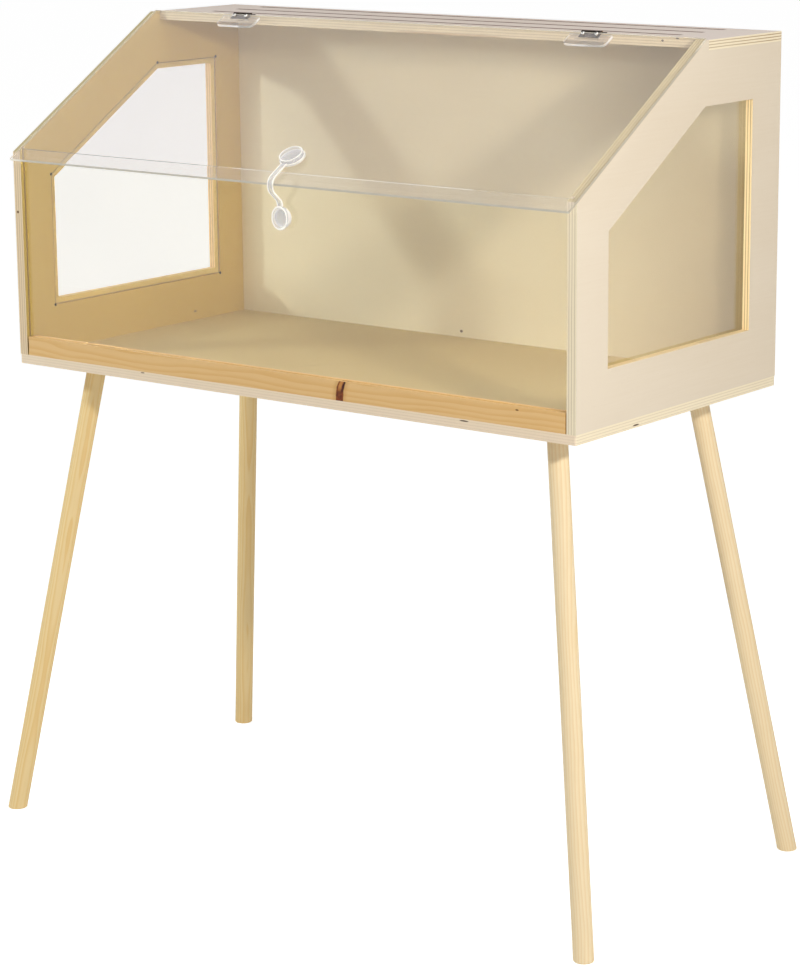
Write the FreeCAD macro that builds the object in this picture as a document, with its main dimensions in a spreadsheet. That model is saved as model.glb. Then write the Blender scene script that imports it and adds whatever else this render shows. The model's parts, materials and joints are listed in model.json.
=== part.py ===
import FreeCAD, Part
import Sketcher
import math
import os
import re

# Driving sizes in millimetres and degrees
sizes = {
    # plywood box
    "boxWidth": 800,
    "boxDepth": 400,
    "boxHeight": 400,
    "baseThick": 11,
    "sideThick": 12,
    "roofThick": 11,
    "backThick": 6.5,
    "sideFrontHeight": 240.5,
    "roofDepth": 152,
    "earFlat": 4.5,
    "cornerRound": 2,
    "boardFit": 0.3,
    # rebate for the back panel
    "backRebate": 6,
    # windows in the side panels
    "windowFrontBorder": 58,
    "windowBackBorder": 59,
    "windowSillBorder": 61,
    "windowTopBorder": 59.5,
    "windowSlantBorder": 60,
    "windowLap": 7.5,
    "windowRebate": 3.2,
    "windowPaneFit": 0.8,
    "acrylicThick": 3,
    "tackRadius": 0.5,
    "tackLength": 6,
    "tackHeadRadius": 1.8,
    "tackHeadHeight": 0.9,
    # front rail and the grooves of the front pane
    "railHeight": 22,
    "railDepth": 15,
    "railEndGap": 1.6,
    "grooveLand": 4.2,
    "grooveDepth": 5,
    "grooveFit": 0.3,
    "railGrooveDepth": 8,
    "paneTopGap": 0.4,
    "paneEndFit": 0.5,
    # vent slots in the roof board
    "slotWidth": 5,
    "slotMargin": 62,
    "slotPitch": 45,
    "slotFrontInset": 42,
    # lid
    "lidLeftInset": 10,
    "lidRightInset": 0,
    "lidOverhang": 16.5,
    "lidHingeGap": 0.4,
    # hinges
    "hingeSpacing": 504,
    "hingeLength": 26,
    "barrelRadius": 2,
    "knuckleGap": 0.2,
    "leafThick": 0.8,
    "leafNotch": 2.6,
    "roofLeafWidth": 11,
    "lidLeafWidth": 9.5,
    "roofHoleInset": 7,
    "lidHoleInset": 4.8,
    "leafHoleSpacing": 18,
    "pinRadius": 1,
    "pinFit": 0.05,
    "pinTail": 6,
    "pinHeadRadius": 1.7,
    "pinHeadHeight": 0.8,
    "holeFit": 0.1,
    "leafScrewRadius": 1,
    "leafScrewLength": 9,
    "leafScrewHeadRadius": 1.9,
    "leafScrewHeadHeight": 1.2,
    "boltRadius": 1.25,
    "boltHeadRadius": 2.2,
    "boltHeadHeight": 1.5,
    "nutAcross": 5,
    "nutHeight": 2,
    "nutProud": 0.6,
    # clear backing plates under the hinge leaves
    "plateLength": 56,
    "plateWidth": 19,
    "plateHingeGap": 3.2,
    "plateRound": 6,
    # strap latch
    "latchShift": 8.5,
    "latchLidInset": 27,
    "lidDiscRadius": 15,
    "lidDiscThick": 3,
    "capRadius": 14,
    "capThick": 4,
    "capRound": 1.4,
    "capButtonRadius": 7.5,
    "capButtonHeight": 0.8,
    "paneDiscHeight": 206,
    "paneDiscRadius": 11,
    "paneDiscThick": 5,
    "tabWidth": 23,
    "tabHeight": 27,
    "tabThick": 3.5,
    "tabRound": 1,
    "strapWidth": 8.5,
    "strapThick": 2.6,
    "strapRootGap": 0.3,
    "strapRun": 21,
    "strapBend": 12,
    "strapReturnBend": 8,
    "strapTurnIn": 50,
    # legs
    "legHeight": 557,
    "legRadius": 11.4,
    "legInsetWidth": 67,
    "legInsetDepth": 62,
    "splayWidth": 89,
    "splayDepth": 75,
    "footEase": 1,
    "legScrewRadius": 3,
    "legScrewLength": 58,
    "legScrewRise": 8,
    # hidden fasteners of the box
    "screwRadius": 1.75,
    "screwHeadRadius": 3.5,
    "screwHeadHeight": 2.2,
    "screwFit": 0.05,
    "railScrewLength": 22,
    "railScrewInset": 70,
    "sideScrewLength": 38,
    "sideScrewInset": 50,
    "dowelRadius": 3,
    "dowelLength": 24,
    "dowelRoofDepth": 7,
    "dowelInset": 28,
    "nailRadius": 0.8,
    "nailLength": 18,
    "nailInset": 40,
    # shared allowances
    "overrun": 1,
    "pilotGap": 0.5,
    "headTaper": 0.65,
}

# Sizes that follow from the driving ones
derived = {
    "slantRun": "boxDepth - roofDepth - earFlat",
    "slantRise": "boxHeight - baseThick - sideFrontHeight",
    "slantAngle": "atan(slantRise / slantRun)",
    "slantLength": "sqrt(slantRun ^ 2 + slantRise ^ 2)",
    "slantSine": "slantRise / slantLength",
    "slantCosine": "slantRun / slantLength",
    "cornerHeight": "baseThick + sideFrontHeight",
    "roofUnder": "boxHeight - roofThick",
    "innerWidth": "boxWidth - 2 * sideThick",
    "grooveWidth": "acrylicThick + 2 * grooveFit",
    "railTop": "baseThick + railHeight",
    "hingeHeight": "boxHeight + barrelRadius",
    "hingeLift": "barrelRadius - leafThick",
    "hingeDepth": "((hingeHeight - cornerHeight) * slantCosine - hingeLift) / slantSine",
    "hingeReach": "hingeDepth * slantCosine + (hingeHeight - cornerHeight) * slantSine",
    "knuckleLength": "(hingeLength - 4 * knuckleGap) / 5",
    "legLean": "atan(sqrt(splayWidth ^ 2 + splayDepth ^ 2) / legHeight)",
    "legLength": "sqrt(splayWidth ^ 2 + splayDepth ^ 2 + legHeight ^ 2)",
    "capBottom": "acrylicThick + lidDiscThick",
    "strapLevel": "capBottom + capThick / 2",
    "strapRoot": "latchLidInset - capRadius - strapRootGap - strapThick / 2",
    "paneFront": "grooveLand + grooveFit",
}

doc = FreeCAD.newDocument("hamster_cage")
sheet = doc.addObject("Spreadsheet::Sheet", "dims")
names = set(sizes) | set(derived)


# Expression helpers
def tied(text):
    def point(match):
        word = match.group()
        return "dims." + word if word in names else word
    return re.sub(r"[A-Za-z_]\w*", point, text)


def fillSheet():
    row = 1
    for name, number in sizes.items():
        sheet.set(f"A{row}", name)
        sheet.set(f"B{row}", str(number))
        sheet.setAlias(f"B{row}", name)
        row += 1
    for name, formula in derived.items():
        sheet.set(f"A{row}", name)
        sheet.set(f"B{row}", "=" + formula)
        sheet.setAlias(f"B{row}", name)
        row += 1
    doc.recompute()


def number(text):
    result = sheet.evalExpression(tied(text))
    return float(getattr(result, "Value", result))


def tie(item, **ties):
    for name, text in ties.items():
        item.setExpression(name, tied(text))
    return item


def place(item, x="0", y="0", z="0"):
    for axis, text in zip("xyz", (x, y, z)):
        item.setExpression("Placement.Base." + axis, tied(text))
    return item


# The box frame has its origin under the middle of the box's front edge
def placeInBox(item):
    return place(item, "0", "-boxDepth / 2", "legHeight")


# The slope frame lies on the slanted edges: X along the cage, Y up the slope, Z out of the lid
def placeOnSlope(item):
    item.Placement = FreeCAD.Placement(FreeCAD.Vector(), FreeCAD.Rotation(FreeCAD.Vector(1, 0, 0), 30))
    item.setExpression("Placement.Rotation.Angle", tied("slantAngle"))
    return place(item, "0", "-boxDepth / 2", "legHeight + cornerHeight")


# The leg frame has its origin at the leg's top centre and Z up along the leg
def placeOnLeg(item, sideX, sideY):
    turn = FreeCAD.Rotation(FreeCAD.Vector(sideY, -sideX, 0), 10)
    item.Placement = FreeCAD.Placement(FreeCAD.Vector(), turn)
    item.setExpression("Placement.Rotation.Angle", tied("legLean"))
    item.setExpression("Placement.Rotation.Axis.x", tied(f"{sideY} * splayDepth"))
    item.setExpression("Placement.Rotation.Axis.y", tied(f"{-sideX} * splayWidth"))
    return place(item, f"{sideX} * (boxWidth / 2 - legInsetWidth)",
                 f"{sideY} * (boxDepth / 2 - legInsetDepth)", "legHeight")


# Part primitives whose sizes and places are expressions
def box(name, x, y, z):
    item = doc.addObject("Part::Box", name)
    tie(item, Length=f"({x[1]}) - ({x[0]})", Width=f"({y[1]}) - ({y[0]})", Height=f"({z[1]}) - ({z[0]})")
    return place(item, x[0], y[0], z[0])


def cylinder(name, radius, height, x="0", y="0", z="0"):
    item = doc.addObject("Part::Cylinder", name)
    tie(item, Radius=radius, Height=height)
    return place(item, x, y, z)


def cylinderAlongX(name, radius, start, length):
    item = doc.addObject("Part::Cylinder", name)
    item.Placement = FreeCAD.Placement(FreeCAD.Vector(), FreeCAD.Rotation(FreeCAD.Vector(0, 1, 0), 90))
    tie(item, Radius=radius, Height=length)
    return place(item, start)


def cone(name, lower, upper, height, x="0", y="0", z="0"):
    item = doc.addObject("Part::Cone", name)
    tie(item, Radius1=lower, Radius2=upper, Height=height)
    return place(item, x, y, z)


def fuse(name, items):
    item = doc.addObject("Part::MultiFuse", name)
    item.Shapes = items
    item.Refine = True
    return item


def cut(name, base, tool):
    item = doc.addObject("Part::Cut", name)
    item.Base = base
    item.Tool = tool
    return item


def group(name, items):
    item = doc.addObject("Part::Compound", name)
    item.Links = items
    return item


# PartDesign helpers
def newBody(name):
    return doc.addObject("PartDesign::Body", name)


def planeSketch(body, role, offset="0"):
    sketch = body.newObject("Sketcher::SketchObject", body.Name + "Sketch")
    plane = next(item for item in body.Origin.OriginFeatures if item.Role == role)
    sketch.AttachmentSupport = [(plane, "")]
    sketch.MapMode = "FlatFace"
    sketch.setExpression("AttachmentOffset.Base.z", tied(offset))
    return sketch


def fixPoint(sketch, geometry, end, x, y):
    for kind, text in (("DistanceX", x), ("DistanceY", y)):
        index = sketch.addConstraint(Sketcher.Constraint(kind, -1, 1, geometry, end, number(text)))
        sketch.setExpression(f"Constraints[{index}]", tied(text))


def addOutline(sketch, corners):
    points = [FreeCAD.Vector(number(x), number(y), 0) for x, y in corners]
    first = sketch.GeometryCount
    count = len(points)
    for index, start in enumerate(points):
        sketch.addGeometry(Part.LineSegment(start, points[(index + 1) % count]), False)
    for index in range(count):
        following = first + (index + 1) % count
        sketch.addConstraint(Sketcher.Constraint("Coincident", first + index, 2, following, 1))
    for index, (x, y) in enumerate(corners):
        fixPoint(sketch, first + index, 1, x, y)


def addRectangle(sketch, x, y):
    addOutline(sketch, [(x[0], y[0]), (x[1], y[0]), (x[1], y[1]), (x[0], y[1])])


def addCircle(sketch, x, y, radius):
    centre = FreeCAD.Vector(number(x), number(y), 0)
    index = sketch.addGeometry(Part.Circle(centre, FreeCAD.Vector(0, 0, 1), number(radius)), False)
    fixPoint(sketch, index, 3, x, y)
    limit = sketch.addConstraint(Sketcher.Constraint("Radius", index, number(radius)))
    sketch.setExpression(f"Constraints[{limit}]", tied(radius))


def pad(body, sketch, length, backwards=False):
    feature = body.newObject("PartDesign::Pad", body.Name + "Pad")
    feature.Profile = sketch
    feature.Reversed = backwards
    tie(feature, Length=length)
    sketch.Visibility = False
    doc.recompute()
    return feature


def pocket(body, sketch, depth, backwards=False):
    before = body.Shape.Volume
    feature = body.newObject("PartDesign::Pocket", body.Name + "Pocket")
    feature.Profile = sketch
    feature.Reversed = backwards
    tie(feature, Length=depth)
    sketch.Visibility = False
    doc.recompute()
    if body.Shape.Volume > before - 0.01:
        raise RuntimeError(f"{feature.Name} cut nothing")
    return feature


def fillet(body, edges, radius):
    tip = body.Tip
    feature = body.newObject("PartDesign::Fillet", body.Name + "Round")
    feature.Base = (tip, edges)
    tie(feature, Radius=radius)
    doc.recompute()
    return feature


def uprightEdges(shape, y=None):
    names = []
    for index, edge in enumerate(shape.Edges, start=1):
        upright = abs(edge.tangentAt(edge.FirstParameter).z) > 0.99
        if upright and (y is None or abs(edge.CenterOfMass.y - y) < 0.01):
            names.append(f"Edge{index}")
    return names


# A countersunk screw in its own frame: the head's flat at the origin and the shank along +Z
def screwSolids(name, radius, length, headRadius, headHeight, x="0", y="0", grow="0"):
    shank = cylinder(name + "Shank", f"{radius} + {grow}", length, x, y)
    head = cone(name + "Head", f"{headRadius} + {grow}", f"{radius} + {grow}", headHeight, x, y)
    return [shank, head]


# Corners of the window outline, seen from the side, moved outwards by a lap
def windowCorners(lap):
    front = f"windowFrontBorder - {lap}"
    back = f"boxDepth - windowBackBorder + {lap}"
    sill = f"baseThick + windowSillBorder - {lap}"
    top = f"roofUnder - windowTopBorder + {lap}"
    drop = f"(windowSlantBorder - {lap}) / slantCosine"
    frontTop = f"cornerHeight + ({front}) * slantRise / slantRun - {drop}"
    topFront = f"({top} - cornerHeight + {drop}) * slantRun / slantRise"
    return [(front, sill), (back, sill), (back, top), (topFront, top), (front, frontTop)]


def panelMiddle(side):
    return f"{side} * (boxWidth - sideThick) / 2"


def sideScrewSpots(side):
    depths = ("sideScrewInset", "boxDepth / 2", "boxDepth - sideScrewInset")
    return [(panelMiddle(side), depth) for depth in depths]


def roofDowelSpots(side):
    depths = ("boxDepth - roofDepth + dowelInset", "boxDepth - dowelInset")
    return [(panelMiddle(side), depth) for depth in depths]


def backNailSpots(side):
    across = f"{side} * (innerWidth + backRebate) / 2"
    span = "(roofUnder - baseThick - 2 * nailInset)"
    return [(across, f"baseThick + nailInset + {step} * {span} / 3") for step in range(4)]


def railScrewSpots():
    reach = "(innerWidth / 2 - railScrewInset)"
    return [(f"{step} * {reach}", "railDepth / 2") for step in (-1, 0, 1)]


def bothSides(spots):
    return spots(-1) + spots(1)


legSides = {
    "front_left": (-1, -1),
    "front_right": (1, -1),
    "back_left": (-1, 1),
    "back_right": (1, 1),
}
hingeSides = {"left": -1, "right": 1}


# Double-ended leg screw in the leg frame: it runs down the leg and up into the base board, short of
# the cage floor
def legScrew(name, sideX, sideY, grow="0"):
    shank = cylinder(name + "Shank", f"legScrewRadius + {grow}", f"legScrewLength + 2 * {grow}",
                     z=f"legScrewRise - legScrewLength - {grow}")
    return placeOnLeg(group(name, [shank]), sideX, sideY)


def makeBaseBoard():
    body = newBody("baseBlank")
    sketch = planeSketch(body, "XY_Plane")
    addRectangle(sketch, ("-boxWidth / 2", "boxWidth / 2"), ("0", "boxDepth"))
    pad(body, sketch, "baseThick")
    fillet(body, uprightEdges(body.Shape), "cornerRound")
    placeInBox(body)
    tools = []
    for index, (x, y) in enumerate(railScrewSpots() + bothSides(sideScrewSpots)):
        tools += screwSolids(f"baseHole{index}", "screwRadius", "baseThick + overrun",
                             "screwHeadRadius", "screwHeadHeight", x, y, "screwFit")
    screwHoles = placeInBox(fuse("baseScrewHoles", tools))
    legHoles = []
    for name, (sideX, sideY) in legSides.items():
        legHoles.append(legScrew("legHole_" + name, sideX, sideY, "screwFit"))
    return cut("base_board", body, fuse("baseHoles", [screwHoles] + legHoles))


def makeSidePanel(name, side):
    body = newBody("sideBlank_" + name)
    inner = f"{-side} * sideThick"
    outward = side > 0
    sketch = planeSketch(body, "YZ_Plane")
    addOutline(sketch, [
        ("0", "baseThick"),
        ("boxDepth", "baseThick"),
        ("boxDepth", "roofUnder"),
        ("boxDepth - roofDepth", "roofUnder"),
        ("boxDepth - roofDepth", "boxHeight"),
        ("slantRun", "boxHeight"),
        ("0", "cornerHeight"),
    ])
    pad(body, sketch, "sideThick", backwards=outward)
    sketch = planeSketch(body, "YZ_Plane", inner)
    addOutline(sketch, windowCorners("0"))
    pocket(body, sketch, "sideThick", backwards=outward)
    sketch = planeSketch(body, "YZ_Plane", inner)
    addOutline(sketch, windowCorners("windowLap"))
    pocket(body, sketch, "windowRebate", backwards=outward)
    sketch = planeSketch(body, "YZ_Plane", inner)
    addRectangle(sketch, ("grooveLand", "grooveLand + grooveWidth"), ("baseThick", "boxHeight"))
    pocket(body, sketch, "grooveDepth", backwards=outward)
    sketch = planeSketch(body, "YZ_Plane", inner)
    addRectangle(sketch, ("boxDepth - backThick", "boxDepth"), ("baseThick", "roofUnder"))
    pocket(body, sketch, "backRebate", backwards=outward)
    sketch = planeSketch(body, "YZ_Plane", inner)
    for y, z in windowCorners("windowLap"):
        addCircle(sketch, y, z, "tackRadius + screwFit")
    pocket(body, sketch, "tackLength", backwards=outward)
    place(body, f"{side} * boxWidth / 2", "-boxDepth / 2", "legHeight")
    tools = []
    for index, (x, y) in enumerate(sideScrewSpots(side)):
        tools.append(cylinder(f"sideHole_{name}{index}", "screwRadius + screwFit",
                              "sideScrewLength + pilotGap", x, y))
    for index, (x, y) in enumerate(roofDowelSpots(side)):
        tools.append(cylinder(f"sideDowelHole_{name}{index}", "dowelRadius + screwFit",
                              "dowelLength - dowelRoofDepth + overrun", x, y,
                              "roofUnder - dowelLength + dowelRoofDepth"))
    for index, (x, z) in enumerate(backNailSpots(side)):
        tools.append(nail(f"sideNailHole_{name}{index}", x, z, "screwFit"))
    return cut("side_panel_" + name, body, placeInBox(fuse("sideHoles_" + name, tools)))


def nail(name, x, z, grow="0"):
    item = doc.addObject("Part::Cylinder", name)
    item.Placement = FreeCAD.Placement(FreeCAD.Vector(), FreeCAD.Rotation(FreeCAD.Vector(1, 0, 0), 90))
    tie(item, Radius=f"nailRadius + {grow}", Height=f"nailLength + {grow}")
    return place(item, x, "boxDepth", z)


def makeBackPanel():
    body = newBody("backBlank")
    sketch = planeSketch(body, "XY_Plane", "baseThick")
    reach = "innerWidth / 2 + backRebate - boardFit"
    addRectangle(sketch, (f"-({reach})", reach), ("boxDepth - backThick", "boxDepth"))
    pad(body, sketch, "roofUnder - baseThick")
    placeInBox(body)
    tools = []
    for index, (x, z) in enumerate(bothSides(backNailSpots)):
        tools.append(nail(f"backNailHole{index}", x, z, "screwFit"))
    return cut("back_panel", body, placeInBox(fuse("backHoles", tools)))


def makeRoofBoard():
    body = newBody("roofBlank")
    sketch = planeSketch(body, "XY_Plane", "roofUnder")
    addRectangle(sketch, ("-boxWidth / 2", "boxWidth / 2"), ("boxDepth - roofDepth", "boxDepth"))
    pad(body, sketch, "roofThick")
    sketch = planeSketch(body, "XY_Plane", "boxHeight")
    for step in range(3):
        middle = f"boxDepth - roofDepth + slotFrontInset + {step} * slotPitch"
        addRectangle(sketch, ("-boxWidth / 2 + slotMargin", "boxWidth / 2 - slotMargin"),
                     (f"{middle} - slotWidth / 2", f"{middle} + slotWidth / 2"))
    pocket(body, sketch, "roofThick")
    sketch = planeSketch(body, "XY_Plane", "roofUnder")
    for x, y in bothSides(roofDowelSpots):
        addCircle(sketch, x, y, "dowelRadius + screwFit")
    pocket(body, sketch, "dowelRoofDepth", backwards=True)
    sketch = planeSketch(body, "XY_Plane", "boxHeight")
    for side in hingeSides.values():
        for hole in (-1, 1):
            addCircle(sketch, f"{side} * hingeSpacing / 2 + {hole} * leafHoleSpacing / 2",
                      "hingeDepth + roofHoleInset", "leafScrewRadius + screwFit")
    pocket(body, sketch, "leafScrewLength")
    body.Label = "roof_board"
    return placeInBox(body)


def makeFrontRail():
    body = newBody("railBlank")
    sketch = planeSketch(body, "YZ_Plane", "-(innerWidth / 2 - railEndGap)")
    addOutline(sketch, [
        ("0", "baseThick"),
        ("railDepth", "baseThick"),
        ("railDepth", "railTop"),
        ("grooveLand + grooveWidth", "railTop"),
        ("grooveLand + grooveWidth", "railTop - railGrooveDepth"),
        ("grooveLand", "railTop - railGrooveDepth"),
        ("grooveLand", "railTop"),
        ("0", "railTop"),
    ])
    pad(body, sketch, "innerWidth - 2 * railEndGap")
    sketch = planeSketch(body, "XY_Plane", "baseThick")
    for x, y in railScrewSpots():
        addCircle(sketch, x, y, "screwRadius + screwFit")
    pocket(body, sketch, "railScrewLength - baseThick + pilotGap", backwards=True)
    body.Label = "front_rail"
    return placeInBox(body)


def makeFrontPane():
    body = newBody("front_pane")
    reach = "innerWidth / 2 + grooveDepth - paneEndFit"
    sketch = planeSketch(body, "XZ_Plane", "-paneFront")
    addRectangle(sketch, (f"-({reach})", reach),
                 ("railTop - railGrooveDepth",
                  "cornerHeight + paneFront * slantRise / slantRun - paneTopGap"))
    pad(body, sketch, "acrylicThick", backwards=True)
    return placeInBox(body)


def makeWindowPane(name, side):
    body = newBody("window_pane_" + name)
    sketch = planeSketch(body, "YZ_Plane", f"{-side} * (sideThick - windowRebate)")
    addOutline(sketch, windowCorners("(windowLap - windowPaneFit)"))
    pad(body, sketch, "acrylicThick", backwards=side > 0)
    return place(body, f"{side} * boxWidth / 2", "-boxDepth / 2", "legHeight")


def makeWindowTacks(name, side):
    tacks = []
    for index, (y, z) in enumerate(windowCorners("windowLap")):
        shank = cylinderAlongX(f"tackShank_{name}{index}", "tackRadius",
                               "-tackLength", "tackLength")
        head = cylinderAlongX(f"tackHead_{name}{index}", "tackHeadRadius", "0", "tackHeadHeight")
        tack = fuse(f"tack_{name}{index}", [shank, head])
        turn = FreeCAD.Rotation(FreeCAD.Vector(0, 0, 1), 180 if side > 0 else 0)
        tack.Placement = FreeCAD.Placement(FreeCAD.Vector(), turn)
        tacks.append(place(tack, f"{side} * innerWidth / 2", y, z))
    return placeInBox(group("window_tacks_" + name, tacks))


def makeLidPane():
    body = newBody("lid_pane")
    sketch = planeSketch(body, "XY_Plane")
    addRectangle(sketch, ("-boxWidth / 2 + lidLeftInset", "boxWidth / 2 - lidRightInset"),
                 ("-lidOverhang", "hingeReach - barrelRadius - lidHingeGap"))
    pad(body, sketch, "acrylicThick")
    sketch = planeSketch(body, "XY_Plane")
    for side in hingeSides.values():
        addBoltHoles(sketch, side)
    pocket(body, sketch, "acrylicThick", backwards=True)
    return placeOnSlope(body)


def addBoltHoles(sketch, side):
    for hole in (-1, 1):
        addCircle(sketch, f"{side} * hingeSpacing / 2 + {hole} * leafHoleSpacing / 2",
                  "hingeReach - lidHoleInset", "boltRadius + holeFit")


def makeBackingPlate(name, side):
    body = newBody("hinge_plate_" + name)
    middle = f"{side} * hingeSpacing / 2"
    top = "-leafThick"
    sketch = planeSketch(body, "XY_Plane", top)
    upper = "hingeReach - plateHingeGap"
    addRectangle(sketch, (f"{middle} - plateLength / 2", f"{middle} + plateLength / 2"),
                 (f"{upper} - plateWidth", upper))
    pad(body, sketch, "acrylicThick", backwards=True)
    fillet(body, uprightEdges(body.Shape, number(f"{upper} - plateWidth")), "plateRound")
    sketch = planeSketch(body, "XY_Plane", top)
    addBoltHoles(sketch, side)
    pocket(body, sketch, "acrylicThick")
    return placeOnSlope(body)


# A hinge leaf in the hinge frame: the barrel's axis is X and the plate lies under it, to one side in Y
def makeLeaf(name, width, holeInset, fingers, way, holeRadius):
    start = "-hingeLength / 2"
    flat = ("-barrelRadius", "-barrelRadius + leafThick")
    if way > 0:
        plateY = ("leafNotch", width)
        webY = ("0", "leafNotch")
    else:
        plateY = (f"-{width}", "-leafNotch")
        webY = ("-leafNotch", "0")
    solids = [box(name + "Plate", (start, "hingeLength / 2"), plateY, flat)]
    for finger in fingers:
        left = f"{start} + {finger} * (knuckleLength + knuckleGap)"
        solids.append(cylinderAlongX(f"{name}Knuckle{finger}", "barrelRadius", left, "knuckleLength"))
        solids.append(box(f"{name}Web{finger}", (left, f"{left} + knuckleLength"), webY, flat))
    tools = [cylinderAlongX(name + "Bore", "pinRadius + pinFit", f"{start} - overrun",
                            "hingeLength + 2 * overrun")]
    for hole in (-1, 1):
        tools.append(cylinder(f"{name}Hole{hole + 1}", holeRadius, "leafThick + 2 * overrun",
                              f"{hole} * leafHoleSpacing / 2", f"{way} * {holeInset}",
                              "-barrelRadius - overrun"))
    return cut(name, fuse(name + "Blank", solids), fuse(name + "Tools", tools))


def placeAtHinge(item, side):
    return place(item, f"{side} * hingeSpacing / 2", "hingeDepth - boxDepth / 2", "legHeight + hingeHeight")


def makeRoofLeaf(name, side):
    leaf = makeLeaf("hinge_roof_leaf_" + name, "roofLeafWidth", "roofHoleInset", (0, 2, 4), 1,
                    "leafScrewRadius + holeFit")
    return placeAtHinge(leaf, side)


def makeLidLeaf(name, side):
    leaf = makeLeaf("hinge_lid_leaf_" + name, "lidLeafWidth", "lidHoleInset", (1, 3), -1,
                    "boltRadius + holeFit")
    leaf.Placement = FreeCAD.Placement(FreeCAD.Vector(), FreeCAD.Rotation(FreeCAD.Vector(1, 0, 0), 30))
    leaf.setExpression("Placement.Rotation.Angle", tied("slantAngle"))
    return placeAtHinge(leaf, side)


def makeHingePin(name, side):
    shaft = cylinderAlongX("pinShaft_" + name, "pinRadius", "-hingeLength / 2", "hingeLength + pinTail")
    head = cylinderAlongX("pinHead_" + name, "pinHeadRadius", "-hingeLength / 2 - pinHeadHeight",
                          "pinHeadHeight")
    return placeAtHinge(fuse("hinge_pin_" + name, [shaft, head]), side)


def makeRoofLeafScrews(name, side):
    screws = []
    for hole in (-1, 1):
        x = f"{hole} * leafHoleSpacing / 2"
        seat = "-barrelRadius + leafThick"
        shank = cylinder(f"leafScrewShank_{name}{hole + 1}", "leafScrewRadius",
                         "leafScrewLength - pilotGap + leafThick", x, "roofHoleInset",
                         "-barrelRadius - leafScrewLength + pilotGap")
        head = cone(f"leafScrewHead_{name}{hole + 1}", "leafScrewHeadRadius",
                    "leafScrewHeadRadius * headTaper", "leafScrewHeadHeight", x, "roofHoleInset", seat)
        screws.append(fuse(f"leafScrew_{name}{hole + 1}", [shank, head]))
    return placeAtHinge(group("roof_leaf_screws_" + name, screws), side)


def makeLidBolts(name, side):
    bolts = []
    bottom = "-leafThick - acrylicThick - nutHeight - nutProud"
    for hole in (-1, 1):
        x = f"{side} * hingeSpacing / 2 + {hole} * leafHoleSpacing / 2"
        y = "hingeReach - lidHoleInset"
        shank = cylinder(f"boltShank_{name}{hole + 1}", "boltRadius", f"acrylicThick - ({bottom})",
                         x, y, bottom)
        head = cone(f"boltHead_{name}{hole + 1}", "boltHeadRadius", "boltHeadRadius * headTaper",
                    "boltHeadHeight", x, y, "acrylicThick")
        bolts.append(fuse(f"bolt_{name}{hole + 1}", [shank, head]))
    return placeOnSlope(group("lid_leaf_bolts_" + name, bolts))


def makeLidNuts(name, side):
    nuts = []
    for hole in (-1, 1):
        prism = doc.addObject("Part::Prism", f"nutPrism_{name}{hole + 1}")
        prism.Polygon = 6
        tie(prism, Circumradius="nutAcross / sqrt(3)", Height="nutHeight")
        bore = cylinder(f"nutBore_{name}{hole + 1}", "boltRadius + screwFit", "nutHeight + 2 * overrun",
                        z="-overrun")
        nut = cut(f"nut_{name}{hole + 1}", prism, bore)
        place(nut, f"{side} * hingeSpacing / 2 + {hole} * leafHoleSpacing / 2",
              "hingeReach - lidHoleInset", "-leafThick - acrylicThick - nutHeight")
        nuts.append(nut)
    return placeOnSlope(group("lid_leaf_nuts_" + name, nuts))


def makeLatchLidBase():
    disc = cylinder("latch_lid_base", "lidDiscRadius", "lidDiscThick")
    placeOnSlope(disc)
    return placeOnSlopeAt(disc, "latchShift", "latchLidInset", "acrylicThick")


# Moves a piece that already has the slope's tilt to a spot given in the slope frame
def placeOnSlopeAt(item, x, y, z):
    return place(item, x, f"-boxDepth / 2 + ({y}) * slantCosine - ({z}) * slantSine",
                 f"legHeight + cornerHeight + ({y}) * slantSine + ({z}) * slantCosine")


def makeLatchCap():
    body = newBody("latch_cap")
    sketch = planeSketch(body, "XY_Plane")
    addCircle(sketch, "0", "0", "capRadius")
    pad(body, sketch, "capThick")
    rims = [index for index, edge in enumerate(body.Shape.Edges, start=1)
            if abs(edge.CenterOfMass.z - number("capThick")) < 0.01]
    fillet(body, [f"Edge{index}" for index in rims], "capRound")
    sketch = planeSketch(body, "XY_Plane", "capThick")
    addCircle(sketch, "0", "0", "capButtonRadius")
    pad(body, sketch, "capButtonHeight")
    placeOnSlope(body)
    return placeOnSlopeAt(body, "latchShift", "latchLidInset", "capBottom")


def makeLatchPaneBase():
    disc = doc.addObject("Part::Cylinder", "latch_pane_base")
    disc.Placement = FreeCAD.Placement(FreeCAD.Vector(), FreeCAD.Rotation(FreeCAD.Vector(1, 0, 0), 90))
    tie(disc, Radius="paneDiscRadius", Height="paneDiscThick")
    return place(disc, "latchShift", "-boxDepth / 2 + paneFront", "legHeight + paneDiscHeight")


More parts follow.
